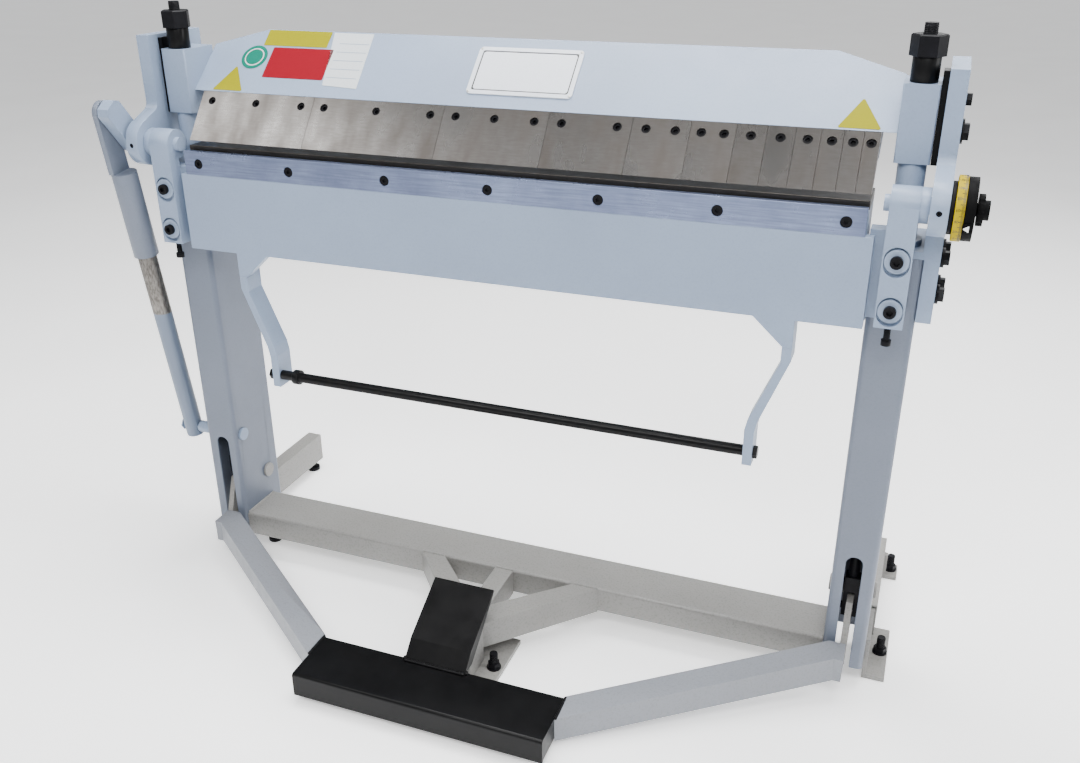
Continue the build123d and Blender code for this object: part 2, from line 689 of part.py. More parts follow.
def make_hinge_pins():
    """Hinge pins with spacer rings; the left one carries the crank, the right one the dial."""
    with BuildPart() as pivot_pins:
        round_x(axis_y, axis_z, pin_r, (-783, -pin_in))
        round_x(axis_y, axis_z, pin_r, (pin_in, 768))
        for sign in both:
            gap = 0.3
            round_x(axis_y, axis_z, 27.5, span(sign, block_x[1], cheek_x[0] - gap))
    save(pivot_pins, "pivot_pins")

    reach = math.radians(crank_angle)
    end = (axis_y + crank_length * math.cos(reach), axis_z + crank_length * math.sin(reach))
    out = (math.cos(reach), math.sin(reach))
    across = (-out[1], out[0])
    hub = (axis_y, axis_z)
    half = 22.0
    corners = [shift(shift(hub, across, half), out, 0), shift(shift(hub, across, -half), out, 0),
               shift(shift(end, across, -half), out, 12), shift(shift(end, across, -12), out, 22),
               shift(shift(end, across, 12), out, 22), shift(shift(end, across, half), out, 12)]
    with BuildPart() as crank_arm:
        along_x(corners, crank_x)
        round_x(*hub, half, crank_x)
        round_x(*hub, pin_r, crank_x, Mode.SUBTRACT)
        round_x(*end, 8, crank_x, Mode.SUBTRACT)
        round_x(*end, 8, (strut_lug_x[1] + free, crank_x[1]))
    save(crank_arm, "crank_arm")
    return end


def strut_line(crank_end):
    """Foot, unit direction and length of the strut in the (y, z) plane."""
    direction = unit(strut_foot, crank_end)
    distance = math.hypot(crank_end[0] - strut_foot[0], crank_end[1] - strut_foot[1])
    return direction, distance


def strut_plane(direction, distance):
    """Plane square to the strut, a distance up from its foot pin."""
    point = shift(strut_foot, direction, distance)
    return Plane(origin=(strut_x, column_y + point[0], point[1]), x_dir=(1, 0, 0),
                 z_dir=(0, direction[0], direction[1]))


def strut_cylinder(direction, r, lo, hi, mode=Mode.ADD):
    with BuildSketch(strut_plane(direction, lo)) as outline:
        Circle(r)
    extrude(outline.sketch, amount=hi - lo, mode=mode)


def make_strut(crank_end):
    """Telescopic counterbalance: outer tube with a one-sided lug, inner rod on the foot pin."""
    direction, distance = strut_line(crank_end)
    across = (-direction[1], direction[0])
    low, high = strut_tube_s
    half = 23.0
    with BuildPart() as strut_tube:
        strut_cylinder(direction, strut_r, low, high)
        strut_cylinder(direction, strut_rod_r + running, low, high - 26, Mode.SUBTRACT)
        foot = shift(strut_foot, direction, high)
        along_x((shift(foot, across, half), shift(crank_end, across, half), shift(crank_end, across, -half),
                 shift(foot, across, -half)), strut_lug_x)
        round_x(*crank_end, half, strut_lug_x)
        round_x(*crank_end, 8, strut_lug_x, Mode.SUBTRACT)
        round_x(*crank_end, 8, (strut_lug_x[0] - 1, strut_lug_x[1]))
        round_x(*crank_end, 12, (strut_lug_x[0] - 7, strut_lug_x[0] - 1), sides=6)
    save(strut_tube, "strut_tube")

    with BuildPart() as strut_rod:
        strut_cylinder(direction, strut_rod_r, -21, strut_rod_end)
        strut_cylinder(direction, 14, 30, strut_rod_end, Mode.SUBTRACT)
        round_x(*strut_foot, 8 + running, (strut_x - 30, strut_x + 30), Mode.SUBTRACT)
    save(strut_rod, "strut_rod")


def make_dial():
    """Angle stop on the right cheek: scale ring on a flange, drum with a pointer, lock knob."""
    with BuildPart() as dial_flange:
        round_x(axis_y, axis_z, 40, (cheek_x[1], 756))
        round_x(axis_y, axis_z, pin_r + free, (cheek_x[1], 756), Mode.SUBTRACT)
    save(dial_flange, "dial_flange")
    with BuildPart() as dial_ring:
        round_x(axis_y, axis_z, 49.5, (756, 770))
        round_x(axis_y, axis_z, 30, (756, 770), Mode.SUBTRACT)
    save(dial_ring, "dial_ring")
    with BuildPart() as stop_drum:
        round_x(axis_y, axis_z, 48, (770.5, 785))
        along_x(((axis_y - 40, axis_z - 8), (axis_y - 50, axis_z - 11), (axis_y - 50, axis_z - 22),
                 (axis_y - 38, axis_z - 24)), (771, 783))
        round_x(axis_y, axis_z, 10, (785, 788))
    save(stop_drum, "stop_drum")
    with BuildPart() as lock_knob:
        with BuildSketch(side(788)) as grip:
            with Locations((axis_y, axis_z)):
                Circle(24)
                with PolarLocations(27, 8):
                    Circle(5, mode=Mode.SUBTRACT)
        extrude(grip.sketch, amount=9)
        round_x(axis_y, axis_z, 15, (797, 805))
    save(lock_knob, "lock_knob")


# ---- foot pedal ---------------------------------------------------------------------------
def make_pedal():
    """Treadle with hood, square-tube arms with short elbows, levers through the column slots."""
    x0, x1 = treadle_x
    y0, y1 = treadle_y
    z0, z1 = treadle_z
    with BuildPart() as treadle:
        along_x(((y0, z0), (y0, z1), (y1, z1), (y1, z1 - 30), (y1 - 5, z1 - 30), (y1 - 5, z1 - 5),
                 (y0 + 5, z1 - 5), (y0 + 5, z0)), (x0, x1))
        front_edge = treadle.edges().filter_by(Axis.X).group_by(Axis.Y)[0].sort_by(Axis.Z)[-1]
        fillet(front_edge, 6)
        for x in (x0, x1 - 5):
            block((x, x + 5), (y0 + 5, y1 - 5), (z0 + 4, z1 - 5))
        for x in (x0 + 60, x1 - 60):
            round_z(x, y0 + 30, 5, (14, z1 - 5))
            round_z(x, y0 + 30, 11, (8, 14))
    save(treadle, "treadle")

    with BuildPart() as treadle_hood:
        along_x(((y1 - 7, z1), (-266, 94), (-152.5, 159), (-150, 154.7), (-263, 90), (y1, z1)), hood_x)
        for x in (hood_x[0], hood_x[1] - 5):
            along_x(((y1, z1), (-263, 90), (-150, 154.7), (-215, 100), (-262, 64)), (x, x + 5))
    save(treadle_hood, "treadle_hood")

    bend_x, end_x, back, outer_top = 668.0, 691.0, -8.0, 102.0
    with BuildPart() as pedal_arms:
        for sign, inner_x in ((-1, x0), (1, x1)):
            bend = Vector(sign * bend_x, column_y + back - tube / 2, outer_top - tube / 2)
            inner = Vector(inner_x, column_y - 315, z1 - tube / 2)
            run = (bend - inner).normalized()
            start = inner - run * 45
            with BuildLine() as path:
                Polyline(start, bend, Vector(sign * end_x, bend.Y, bend.Z))
            flat = Vector(-run.Y, run.X, 0).normalized()
            with BuildSketch(Plane(origin=start, x_dir=flat, z_dir=run)) as section:
                Rectangle(tube, tube)
                Rectangle(tube - 8, tube - 8, mode=Mode.SUBTRACT)
            sweep(section.sketch, path=path.line, transition=Transition.RIGHT)
            block(span(sign, end_x - 4, end_x), (back - tube, back), (outer_top - tube, outer_top))
            block(span(sign, 600, 700), (back, back + 30), (0, 200), Mode.SUBTRACT)
        block((x0, x1), (y0, -200), (0, 100), Mode.SUBTRACT)
    save(pedal_arms, "pedal_arms")

    py, pz = pedal_pivot
    with BuildPart() as pedal_levers:
        for sign in both:
            xs = span(sign, 680, 692)
            along_x(((back, 54), (py + 4, pz - 22), (py - 6, pz + 21), (20, 176), (back, 101)), xs)
            round_x(py, pz, 22, xs)
            round_x(py, pz, 15, span(sign, 676, 696))
            round_x(py, pz, 10 + running, span(sign, 676, 696), Mode.SUBTRACT)
            with BuildSketch(side(xs[0])) as slot:
                with Locations(pedal_pin):
                    SlotCenterToCenter(14, 15.6, rotation=12)
            extrude(slot.sketch, amount=12, mode=Mode.SUBTRACT)
    save(pedal_levers, "pedal_levers")


make_columns()
make_column_plates()
make_guide_posts()
make_cheeks()
make_cheek_bolts()
make_guide_strips()
make_pivot_bushes()
make_bed()
make_base()
make_frame_pins()
make_lifting_gear()
make_beam()
make_guide_blocks()
make_fingers()
make_name_plate()
make_nuts()
make_apron()
make_hinge_blocks()
crank_pin_at = make_hinge_pins()
make_strut(crank_pin_at)
make_dial()
make_pedal()
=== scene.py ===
"""Looks of the foot-operated sheet metal brake, in the same frame as its CAD, in metres."""
import json
import math
import random

import bmesh
import bpy
from mathutils import Matrix, Vector


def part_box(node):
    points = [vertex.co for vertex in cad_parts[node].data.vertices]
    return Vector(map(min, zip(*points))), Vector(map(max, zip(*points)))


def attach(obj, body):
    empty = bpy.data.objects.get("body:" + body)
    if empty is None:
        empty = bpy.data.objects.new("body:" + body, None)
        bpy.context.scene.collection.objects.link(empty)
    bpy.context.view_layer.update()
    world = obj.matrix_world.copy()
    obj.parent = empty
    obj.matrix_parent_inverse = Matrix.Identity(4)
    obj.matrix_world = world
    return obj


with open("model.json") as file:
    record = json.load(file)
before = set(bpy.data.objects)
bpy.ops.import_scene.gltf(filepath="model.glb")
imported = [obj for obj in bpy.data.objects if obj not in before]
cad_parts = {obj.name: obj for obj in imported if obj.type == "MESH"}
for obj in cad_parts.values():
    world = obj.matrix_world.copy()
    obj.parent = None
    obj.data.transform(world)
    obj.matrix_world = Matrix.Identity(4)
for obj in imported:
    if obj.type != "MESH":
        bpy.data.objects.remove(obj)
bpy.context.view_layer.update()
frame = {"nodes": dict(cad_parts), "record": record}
record = frame["record"]
random.seed(7)
both = (-1, 1)
WORKING_LENGTH = 1.27
POST_X = 0.686              # from the middle to the guide posts and lift rods


# ---- materials ----------------------------------------------------------------------------
def node(tree, kind, x=0, **values):
    """Adds a shader node and sets its properties."""
    made = tree.nodes.new(kind)
    made.location = (x, 0)
    for key, value in values.items():
        setattr(made, key, value)
    return made


def noise(tree, scale, detail=4.0, stretch=(1, 1, 1), seed=0.0, rough=0.55):
    """Noise in object space, stretched along an axis for brushed or rolled surfaces."""
    coords = node(tree, "ShaderNodeTexCoord", -1100)
    mapping = node(tree, "ShaderNodeMapping", -900)
    mapping.inputs["Scale"].default_value = stretch
    mapping.inputs["Location"].default_value = (seed, seed * 1.7, seed * 2.3)
    tree.links.new(coords.outputs["Object"], mapping.inputs["Vector"])
    made = node(tree, "ShaderNodeTexNoise", -700)
    made.inputs["Scale"].default_value = scale
    made.inputs["Detail"].default_value = detail
    made.inputs["Roughness"].default_value = rough
    tree.links.new(mapping.outputs["Vector"], made.inputs["Vector"])
    return made.outputs["Fac"]


def ramp(tree, fac, stops):
    """Colour ramp through (position, colour) stops."""
    made = node(tree, "ShaderNodeValToRGB", -450)
    while len(made.color_ramp.elements) < len(stops):
        made.color_ramp.elements.new(0.5)
    for element, (position, color) in zip(made.color_ramp.elements, stops):
        element.position = position
        element.color = tuple(color) + (1.0,)
    tree.links.new(fac, made.inputs["Fac"])
    return made.outputs["Color"]


def fade(tree, value, start, end, low=0.0, high=1.0):
    """Maps a value from start..end to low..high."""
    made = node(tree, "ShaderNodeMapRange", -450)
    made.inputs["From Min"].default_value = start
    made.inputs["From Max"].default_value = end
    made.inputs["To Min"].default_value = low
    made.inputs["To Max"].default_value = high
    tree.links.new(value, made.inputs["Value"])
    return made.outputs["Result"]


def scaled(tree, fac, low, high):
    """Maps the usual spread of a noise to low..high."""
    return fade(tree, fac, 0.3, 0.7, low, high)


def blend_color(tree, factor, one, two, kind="MIX"):
    """Mixes two colours; each of the three inputs is a socket or a constant."""
    made = node(tree, "ShaderNodeMix", -250, data_type="RGBA", blend_type=kind)
    for name, value in (("Factor", factor), ("A", one), ("B", two)):
        if isinstance(value, bpy.types.NodeSocket):
            tree.links.new(value, made.inputs[name])
        elif name == "Factor":
            made.inputs[name].default_value = value
        else:
            made.inputs[name].default_value = tuple(value) + (1.0,)
    return made.outputs["Result"]


def height_of(tree):
    """Height above the floor at rest."""
    coords = node(tree, "ShaderNodeTexCoord", -1100)
    split = node(tree, "ShaderNodeSeparateXYZ", -900)
    tree.links.new(coords.outputs["Object"], split.inputs["Vector"])
    return split.outputs["Z"]


def shade(color, factor):
    """Lighter or darker version of a colour."""
    return tuple(min(1.0, channel * factor) for channel in color)


def blank(name):
    """New material with its node tree and shader."""
    made = bpy.data.materials.new(name)
    made.use_nodes = True
    tree = made.node_tree
    return made, tree, tree.nodes["Principled BSDF"]


def bump(tree, shader, facs, distance):
    """Stacks bumps from several noises, each with its own strength."""
    normal = None
    for fac, strength in facs:
        made = node(tree, "ShaderNodeBump", -200)
        made.inputs["Strength"].default_value = strength
        made.inputs["Distance"].default_value = distance
        tree.links.new(fac, made.inputs["Height"])
        if normal is not None:
            tree.links.new(normal, made.inputs["Normal"])
        normal = made.outputs["Normal"]
    tree.links.new(normal, shader.inputs["Normal"])


def paint(name, color, rough=(0.36, 0.48), seed=0.0, mottle=0.06, peel=0.12, dirt=0.0, coat=0.08,
          grain=0.90, shine=0.4):
    """Sprayed paint: faint cloudiness, orange peel, fine speckle and optional scuffs."""
    made, tree, shader = blank(name)
    cloud = noise(tree, 4.0, 5.0, seed=seed)
    base = ramp(tree, cloud, ((0.3, shade(color, 1 - mottle)), (0.7, shade(color, 1 + mottle))))
    speck = noise(tree, 260.0, 3.0, seed=seed + 3)
    tint = ramp(tree, speck, ((0.32, (grain, grain, grain)), (0.5, (1, 1, 1))))
    last = blend_color(tree, 0.55, base, tint, "MULTIPLY")
    if dirt:
        smudge = noise(tree, 14.0, 9.0, seed=seed + 9, rough=0.7)
        last = blend_color(tree, scaled(tree, smudge, 0.0, dirt), last, (0.23, 0.21, 0.18))
    tree.links.new(last, shader.inputs["Base Color"])
    gloss = scaled(tree, noise(tree, 30.0, 4.0, seed=seed + 1), *rough)
    tree.links.new(gloss, shader.inputs["Roughness"])
    bump(tree, shader, ((noise(tree, 420.0, 2.0, seed=seed + 2), peel), (cloud, 0.04)), 0.0006)
    shader.inputs["Specular IOR Level"].default_value = shine
    shader.inputs["Coat Weight"].default_value = coat
    shader.inputs["Coat Roughness"].default_value = 0.3
    return made


def metal(name, color, rough=(0.25, 0.42), stretch=(1, 1, 1), stain=None, seed=0.0):
    """Bare metal: brushed along the axis with the smallest stretch, with cloudy stains."""
    made, tree, shader = blank(name)
    lines = noise(tree, 320.0, 6.0, stretch=stretch, seed=seed)
    base = ramp(tree, lines, ((0.35, shade(color, 0.78)), (0.65, shade(color, 1.15))))
    cloud = noise(tree, 9.0, 8.0, seed=seed + 4, rough=0.65)
    last = blend_color(tree, scaled(tree, cloud, 0.0, 0.75), base, stain or shade(color, 0.62))
    tree.links.new(last, shader.inputs["Base Color"])
    shader.inputs["Metallic"].default_value = 0.92
    tree.links.new(scaled(tree, cloud, *rough), shader.inputs["Roughness"])
    bump(tree, shader, ((lines, 0.12), (cloud, 0.05)), 0.0003)
    return made


def oxide(name, color=(0.0035, 0.0035, 0.0045), rough=(0.34, 0.48), seed=0.0, shine=0.10):
    """Black oxide or black enamel: dark with faint lighter wear."""
    made, tree, shader = blank(name)
    cloud = noise(tree, 60.0, 7.0, seed=seed, rough=0.65)
    base = ramp(tree, cloud, ((0.35, color), (0.62, shade(color, 1.6)), (0.78, shade(color, 3.0))))
    tree.links.new(base, shader.inputs["Base Color"])
    shader.inputs["Specular IOR Level"].default_value = shine
    gloss = scaled(tree, noise(tree, 25.0, 5.0, seed=seed + 2), *rough)
    tree.links.new(gloss, shader.inputs["Roughness"])
    bump(tree, shader, ((noise(tree, 500.0, 3.0, seed=seed + 1), 0.15), (cloud, 0.08)), 0.0004)
    return made


def print_ink(name, color, seed, **extra):
    """Flat printed colour of a sticker or scale."""
    return paint(name, color, (0.4, 0.5), seed=seed, coat=0.0, shine=0.06, **extra)


def finger_look(index, along):
    """Hardened steel ground along the fold line, stained brown; along is 0 at the left end, 1 at the right.

    Painted shade: the fingers are brightest near the middle of the row and darker towards both ends, most
    at the right end, as the light falls along the row, and darker towards their top edge, where they meet
    the beam face.
    """
    made, tree, shader = blank(f"steel_finger_{index}")
    seed = index * 3.1
    # painted shade along the row: brightest near the middle, darker at both ends, with a little random tone
    painted_shade_tone = 0.38 + 0.90 * along - 1.08 * along * along + 0.12 * random.random()
    lines = noise(tree, 300.0, 6.0, stretch=(0.2, 1, 1), seed=seed)
    base = ramp(tree, lines, ((0.34, shade((0.31, 0.295, 0.28), painted_shade_tone)),
                              (0.66, shade((0.39, 0.38, 0.37), painted_shade_tone))))
    cloud = noise(tree, 15.0, 3.0, stretch=(1.6, 0.6, 0.6), seed=seed + 2, rough=0.45)
    last = blend_color(tree, scaled(tree, cloud, 0.0, 0.85), base, shade((0.15, 0.13, 0.115), painted_shade_tone))
    # painted shade darkening the top edge of the fingers, where they meet the beam face
    painted_top_shade = fade(tree, height_of(tree), 0.985, 1.045, 0.0, 0.4)
    last = blend_color(tree, painted_top_shade, last, (0.09, 0.083, 0.076))
    tree.links.new(last, shader.inputs["Base Color"])
    shader.inputs["Metallic"].default_value = 0.85
    tree.links.new(scaled(tree, cloud, 0.24, 0.35), shader.inputs["Roughness"])
    bump(tree, shader, ((lines, 0.12),), 0.0003)
    return made


def rod_look():
    """Strut rod: bare steel where it slides, painted from there down to its foot."""
    made, tree, shader = blank("steel_rod_half_painted")
    joints = {joint["name"]: joint for joint in record["behaviour"]["joints"]}
    foot_z = joints["strut_swing"]["pos_m"][2]
    paint_length, soft = 0.291, 0.0015
    edge_z = foot_z + paint_length * joints["strut_slide"]["axis"][2]
    mask = fade(tree, height_of(tree), edge_z - soft, edge_z + soft)
    lines = noise(tree, 300.0, 5.0, stretch=(1, 1, 0.3), seed=31)
    steel = ramp(tree, lines, ((0.35, (0.12, 0.11, 0.10)), (0.65, (0.26, 0.245, 0.225))))
    cloud = noise(tree, 5.0, 5.0, seed=32)
    # painted shade: the painted part is a darker copy of the body grey, for the shade that falls on the
    # strut
    coat = ramp(tree, cloud, ((0.3, shade(GREY, 0.62)), (0.7, shade(GREY, 0.72))))
    tree.links.new(blend_color(tree, mask, coat, steel), shader.inputs["Base Color"])
    shine = node(tree, "ShaderNodeMath", -250, operation="MULTIPLY")
    shine.inputs[1].default_value = 0.9
    tree.links.new(mask, shine.inputs[0])
    tree.links.new(shine.outputs["Value"], shader.inputs["Metallic"])
    tree.links.new(scaled(tree, cloud, 0.33, 0.46), shader.inputs["Roughness"])
    bump(tree, shader, ((lines, 0.08), (noise(tree, 420.0, 2.0, seed=33), 0.1)), 0.0004)
    return made


GREY = (0.21, 0.268, 0.37)
BASE = (0.225, 0.222, 0.212)
looks = {
    "body_paint": paint("paint_body", GREY),
    "base_paint": paint("paint_base", BASE, seed=5, mottle=0.09, dirt=0.14, grain=0.55),
    "black_paint": oxide("enamel_black", (0.0016, 0.0016, 0.0018), (0.28, 0.42), shine=0.14),
    "black_hardware": oxide("oxide_black", seed=3),
    "bare_steel": metal("steel_bare", (0.60, 0.60, 0.58), stretch=(1, 1, 0.08), seed=1),
    "bar_steel": metal("steel_bar", (0.235, 0.285, 0.43), (0.24, 0.38), stretch=(0.04, 1, 1),
                       seed=2, stain=(0.11, 0.13, 0.22)),
    "spring_steel": metal("steel_spring", (0.33, 0.33, 0.35), seed=4),
    "bronze": metal("bronze", (0.60, 0.43, 0.22), seed=6),
    "scale_yellow": print_ink("paint_yellow", (0.36, 0.27, 0.0), 7, mottle=0.03, peel=0.05),
    "plate_metal": paint("plate_silver", (0.56, 0.59, 0.64), (0.28, 0.4), seed=8, mottle=0.04,
                         peel=0.04),
}
# painted shade: the bed plate's steel is near black, for the shadow in the gap between the apron bar and
# the fingers
shaded_bed_steel = metal("steel_bed_painted_shade", (0.06, 0.055, 0.05), (0.35, 0.5), stretch=(0.05, 1, 1), seed=12,
                 stain=(0.03, 0.027, 0.025))
cap_look = paint("paint_dial_flange", (0.008, 0.008, 0.009), (0.45, 0.55), seed=14, coat=0.0,
                 shine=0.06)
# painted shade: a darker copy of the body grey for the columns and the strut tube, for the shade that falls
# on their faces
shaded_body_paint = paint("paint_body_painted_shade", (0.128, 0.150, 0.195), seed=15)
arm_paint = paint("paint_arms", (0.195, 0.207, 0.232), seed=16, grain=0.75, dirt=0.05)
drum_look = oxide("enamel_matt_black", (0.002, 0.002, 0.0022), (0.5, 0.62), seed=17, shine=0.05)
special = {
    "bed_plate": shaded_bed_steel, "dial_flange": cap_look, "strut_rod": rod_look(),
    "columns": shaded_body_paint, "strut_tube": shaded_body_paint, "pedal_arms": arm_paint,
    "stop_drum": drum_look, "lock_knob": drum_look,
}

slots = {entry["node"]: entry["material_slot"] for entry in record["subparts"]}
sharp_nodes = ("lift_springs", "set_springs")
for index, (name, part) in enumerate(sorted(frame["nodes"].items())):
    slot_name = slots[name]
    if slot_name == "finger_steel":
        middle_x = sum(point[0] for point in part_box(name)) / 2
        look = finger_look(index, middle_x / WORKING_LENGTH + 0.5)
    else:
        look = special.get(name) or looks[slot_name]
    part.data.materials.clear()
    part.data.materials.append(look)
    if name in sharp_nodes or slot_name == "finger_steel":
        continue
    weld = part.modifiers.new("weld", "WELD")
    weld.merge_threshold = 0.00002
    bevel = part.modifiers.new("edges", "BEVEL")
    bevel.limit_method = "ANGLE"
    bevel.angle_limit = math.radians(35)
    bevel.width = 0.0004 if slot_name in ("bar_steel", "black_hardware") else 0.0011
    bevel.segments = 2
    bevel.harden_normals = True


# ---- extra pieces -------------------------------------------------------------------------
def add(name, mesh, look, body):
    """Puts a mesh in the scene on its body, with its look."""
    made = bpy.data.objects.new(name, mesh)
    bpy.context.scene.collection.objects.link(made)
    made.data.materials.append(look)
    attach(made, body)


def finish_mesh(name, work, smooth=False):
    """Mesh with outward normals from a bmesh."""
    bmesh.ops.recalc_face_normals(work, faces=work.faces)
    mesh = bpy.data.meshes.new(name)
    work.to_mesh(mesh)
    work.free()
    for face in mesh.polygons:
        face.use_smooth = smooth
    return mesh


def prism(work, low_points, top_points):
    """Closed shell between two matching outlines."""
    low = [work.verts.new(point) for point in low_points]
    top = [work.verts.new(point) for point in top_points]
    work.faces.new(low)
    work.faces.new(top)
    for index in range(len(low)):
        nxt = (index + 1) % len(low)
        work.faces.new((low[index], low[nxt], top[nxt], top[index]))


def around(axis):
    """Two directions square to an axis and to each other."""
    side = axis.orthogonal().normalized()
    return side, axis.cross(side)


def thread(name, foot, top_z, body, root, crest, pitch):
    """Helical thread ridge wound on an upright black shank, from its foot up to a height."""
    length = top_z - foot[2]
    axis = Vector((0, 0, 1))
    side, other = around(axis)
    work = bmesh.new()
    steps = 20
    total = int((length - pitch) / pitch * steps)
    rings = []
    for step in range(total + 1):
        turn = 2 * math.pi * step / steps
        out = side * math.cos(turn) + other * math.sin(turn)
        centre = Vector(foot) + axis * (pitch * step / steps + pitch / 2)
        run_out = min(1.0, step / 6, (total - step) / 6)
        tip = root + (crest - root) * max(run_out, 0.05)
        ring = [work.verts.new(centre - axis * pitch * 0.46 + out * root * 0.985),
                work.verts.new(centre + out * tip),
                work.verts.new(centre + axis * pitch * 0.46 + out * root * 0.985)]
        rings.append(ring)
    for one, two in zip(rings, rings[1:]):
        work.faces.new((one[0], two[0], two[1], one[1]))
        work.faces.new((one[1], two[1], two[2], one[2]))
        work.faces.new((one[2], two[2], two[0], one[0]))
    work.faces.new(rings[0])
    work.faces.new(list(reversed(rings[-1])))
    add(name, finish_mesh(name, work), looks["black_hardware"], body)


def bead(name, start, end, body, slot_name, seed, r):
    """Weld bead: overlapping ripples along a straight line."""
    rng = random.Random(seed)
    work = bmesh.new()
    start = Vector(start)
    total = (Vector(end) - start).length
    run = (Vector(end) - start).normalized()
    side, other = around(run)
    count = max(6, int(total / (r * 0.55)))
    sides = 8
    previous = None
    for step in range(count + 1):
        centre = start + run * (total * step / count)
        size = r * (0.82 + 0.18 * abs(math.sin(step * 1.3)) + 0.12 * (rng.random() - 0.5))
        if step in (0, count):
            size *= 0.35
        ring = []
        for turn in range(sides):
            angle = 2 * math.pi * turn / sides
            out = side * math.cos(angle) + other * math.sin(angle)
            ring.append(work.verts.new(centre + out * size))
        if previous:
            for turn in range(sides):
                nxt = (turn + 1) % sides
                work.faces.new((previous[turn], previous[nxt], ring[nxt], ring[turn]))
        else:
            work.faces.new(list(reversed(ring)))
        previous = ring
    work.faces.new(previous)
    add(name, finish_mesh(name, work, smooth=True), looks[slot_name], body)


def rivet(name, centre, normal, r, high):
    """Low round steel rivet head."""
    side, other = around(normal)
    count, rings = 16, 4
    work = bmesh.new()
    loops = []
    for ring in range(rings):
        angle = math.pi / 2 * ring / rings
        loop = []
        for n in range(count):
            turn = 2 * math.pi * n / count
            out = side * math.cos(turn) + other * math.sin(turn)
            loop.append(work.verts.new(centre + out * r * math.cos(angle)
                                       + normal * high * math.sin(angle)))
        loops.append(loop)
    tip = work.verts.new(centre + normal * high)
    for one, two in zip(loops, loops[1:]):
        for n in range(count):
            nxt = (n + 1) % count
            work.faces.new((one[n], one[nxt], two[nxt], two[n]))
    for n in range(count):
        work.faces.new((loops[-1][n], loops[-1][(n + 1) % count], tip))
    work.faces.new(list(reversed(loops[0])))
    add(name, finish_mesh(name, work, smooth=True), looks["bare_steel"], "clamp_beam")


# ---- labels and name plate on the clamp beam's sloped face --------------------------------
# places are x from the middle and the distance up the slope from the top of the fingers
slope = math.radians(43)
face_up = Vector((0, math.cos(slope), math.sin(slope)))
face_out = Vector((0, -math.sin(slope), math.cos(slope)))
face_foot = Vector((0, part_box("beam_face")[0][1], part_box("finger_01")[1][2]))


def on_face(x, rise, lift=0.0):
    """Point on the sloped face, a distance up from the fingers' top and above the surface."""
    return face_foot + Vector((x, 0, 0)) + face_up * rise + face_out * lift


def patch(name, corners, look, lift=0.0002, thick=0.0004):
    """Thin label on the sloped face; corners are (x, distance up the slope)."""
    work = bmesh.new()
    prism(work, [on_face(x, rise, lift) for x, rise in corners],
          [on_face(x, rise, lift + thick) for x, rise in corners])
    add(name, finish_mesh(name, work), look, "clamp_beam")


def rounded(cx, cy, wide, high, r, steps=5):
    """Rectangle with round corners."""
    points = []
    for sx, sy, start in ((1, 1, 0), (-1, 1, 90), (-1, -1, 180), (1, -1, 270)):
        for step in range(steps + 1):
            angle = math.radians(start + 90 * step / steps)
            points.append((cx + sx * (wide / 2 - r) + r * math.cos(angle),
                           cy + sy * (high / 2 - r) + r * math.sin(angle)))
    return points


def circle(cx, cy, r, count=40):
    """Round outline."""
    turns = [2 * math.pi * n / count for n in range(count)]
    return [(cx + r * math.cos(turn), cy + r * math.sin(turn)) for turn in turns]


def triangle(cx, low, width, r=0.003):
    """Triangle standing on its base, with corners cut short."""
    high = width * 0.87
    corners = (Vector((cx - width / 2, low)), Vector((cx + width / 2, low)), Vector((cx, low + high)))
    points = []
    for index in range(3):
        here, before, after = corners[index], corners[index - 1], corners[(index + 1) % 3]
        points.append(tuple(here + (before - here).normalized() * r))
        points.append(tuple(here + (after - here).normalized() * r))
    return points


label_yellow = print_ink("label_yellow", (0.23, 0.215, 0.0), 20, mottle=0.02, peel=0.03)
label_red = print_ink("label_red", (0.19, 0.004, 0.012), 21, mottle=0.03, peel=0.03)
label_white = print_ink("label_white", (0.50, 0.53, 0.55), 22, mottle=0.03, peel=0.03)
label_green = print_ink("label_green", (0.002, 0.13, 0.09), 23, mottle=0.03, peel=0.03)
label_black = paint("label_black", (0.01, 0.01, 0.012), (0.3, 0.42), seed=24, mottle=0.03, peel=0.03)

film = 0.0002               # thickness of each printed layer on a label
disc = (-0.554, 0.086)
patch("label_green_disc", circle(*disc, 0.028), label_green)
patch("label_green_ring", circle(*disc, 0.021), label_white, 0.0006, film)
patch("label_green_middle", circle(*disc, 0.0185), label_green, 0.0008, film)
patch("label_yellow_panel", rounded(-0.474, 0.1345, 0.142, 0.038, 0.002), label_yellow)
patch("label_red_panel", rounded(-0.452, 0.0755, 0.134, 0.072, 0.002), label_red)
patch("label_white_panel", [(-0.380, 0.028), (-0.306, 0.024), (-0.312, 0.152), (-0.398, 0.152)],
      label_white)
for side, x in (("left", -0.584), ("right", 0.600)):
    patch(f"label_triangle_{side}", triangle(x, 0.004, 0.068), label_yellow)
rule_left, rule_right, rule_thick = -0.378, -0.314, 0.0012
for index, rise in enumerate((0.046, 0.066, 0.086, 0.106, 0.126)):
    patch(f"label_rule_{index}", [(rule_left, rise), (rule_right, rise),
                                  (rule_right, rise + rule_thick), (rule_left, rise + rule_thick)],
          looks["body_paint"], 0.0006, film)

# blank name plate: dark border line and four rivets
plate = (0.016, 0.080)
border_wide, border_high, line_thick = 0.186, 0.090, 0.0035
patch("plate_border", rounded(*plate, border_wide, border_high, 0.006), label_black,
      0.0016, film)
patch("plate_field", rounded(*plate, border_wide - 2 * line_thick, border_high - 2 * line_thick, 0.005),
      looks["plate_metal"], 0.0018, film)
rivet_x, rivet_rise = 0.0955, 0.0475
for index, (sx, sy) in enumerate(((-1, -1), (1, -1), (-1, 1), (1, 1))):
    spot = on_face(plate[0] + sx * rivet_x, plate[1] + sy * rivet_rise, 0.0024)
    rivet(f"plate_rivet_{index}", spot, face_out, r=0.0028, high=0.0014)

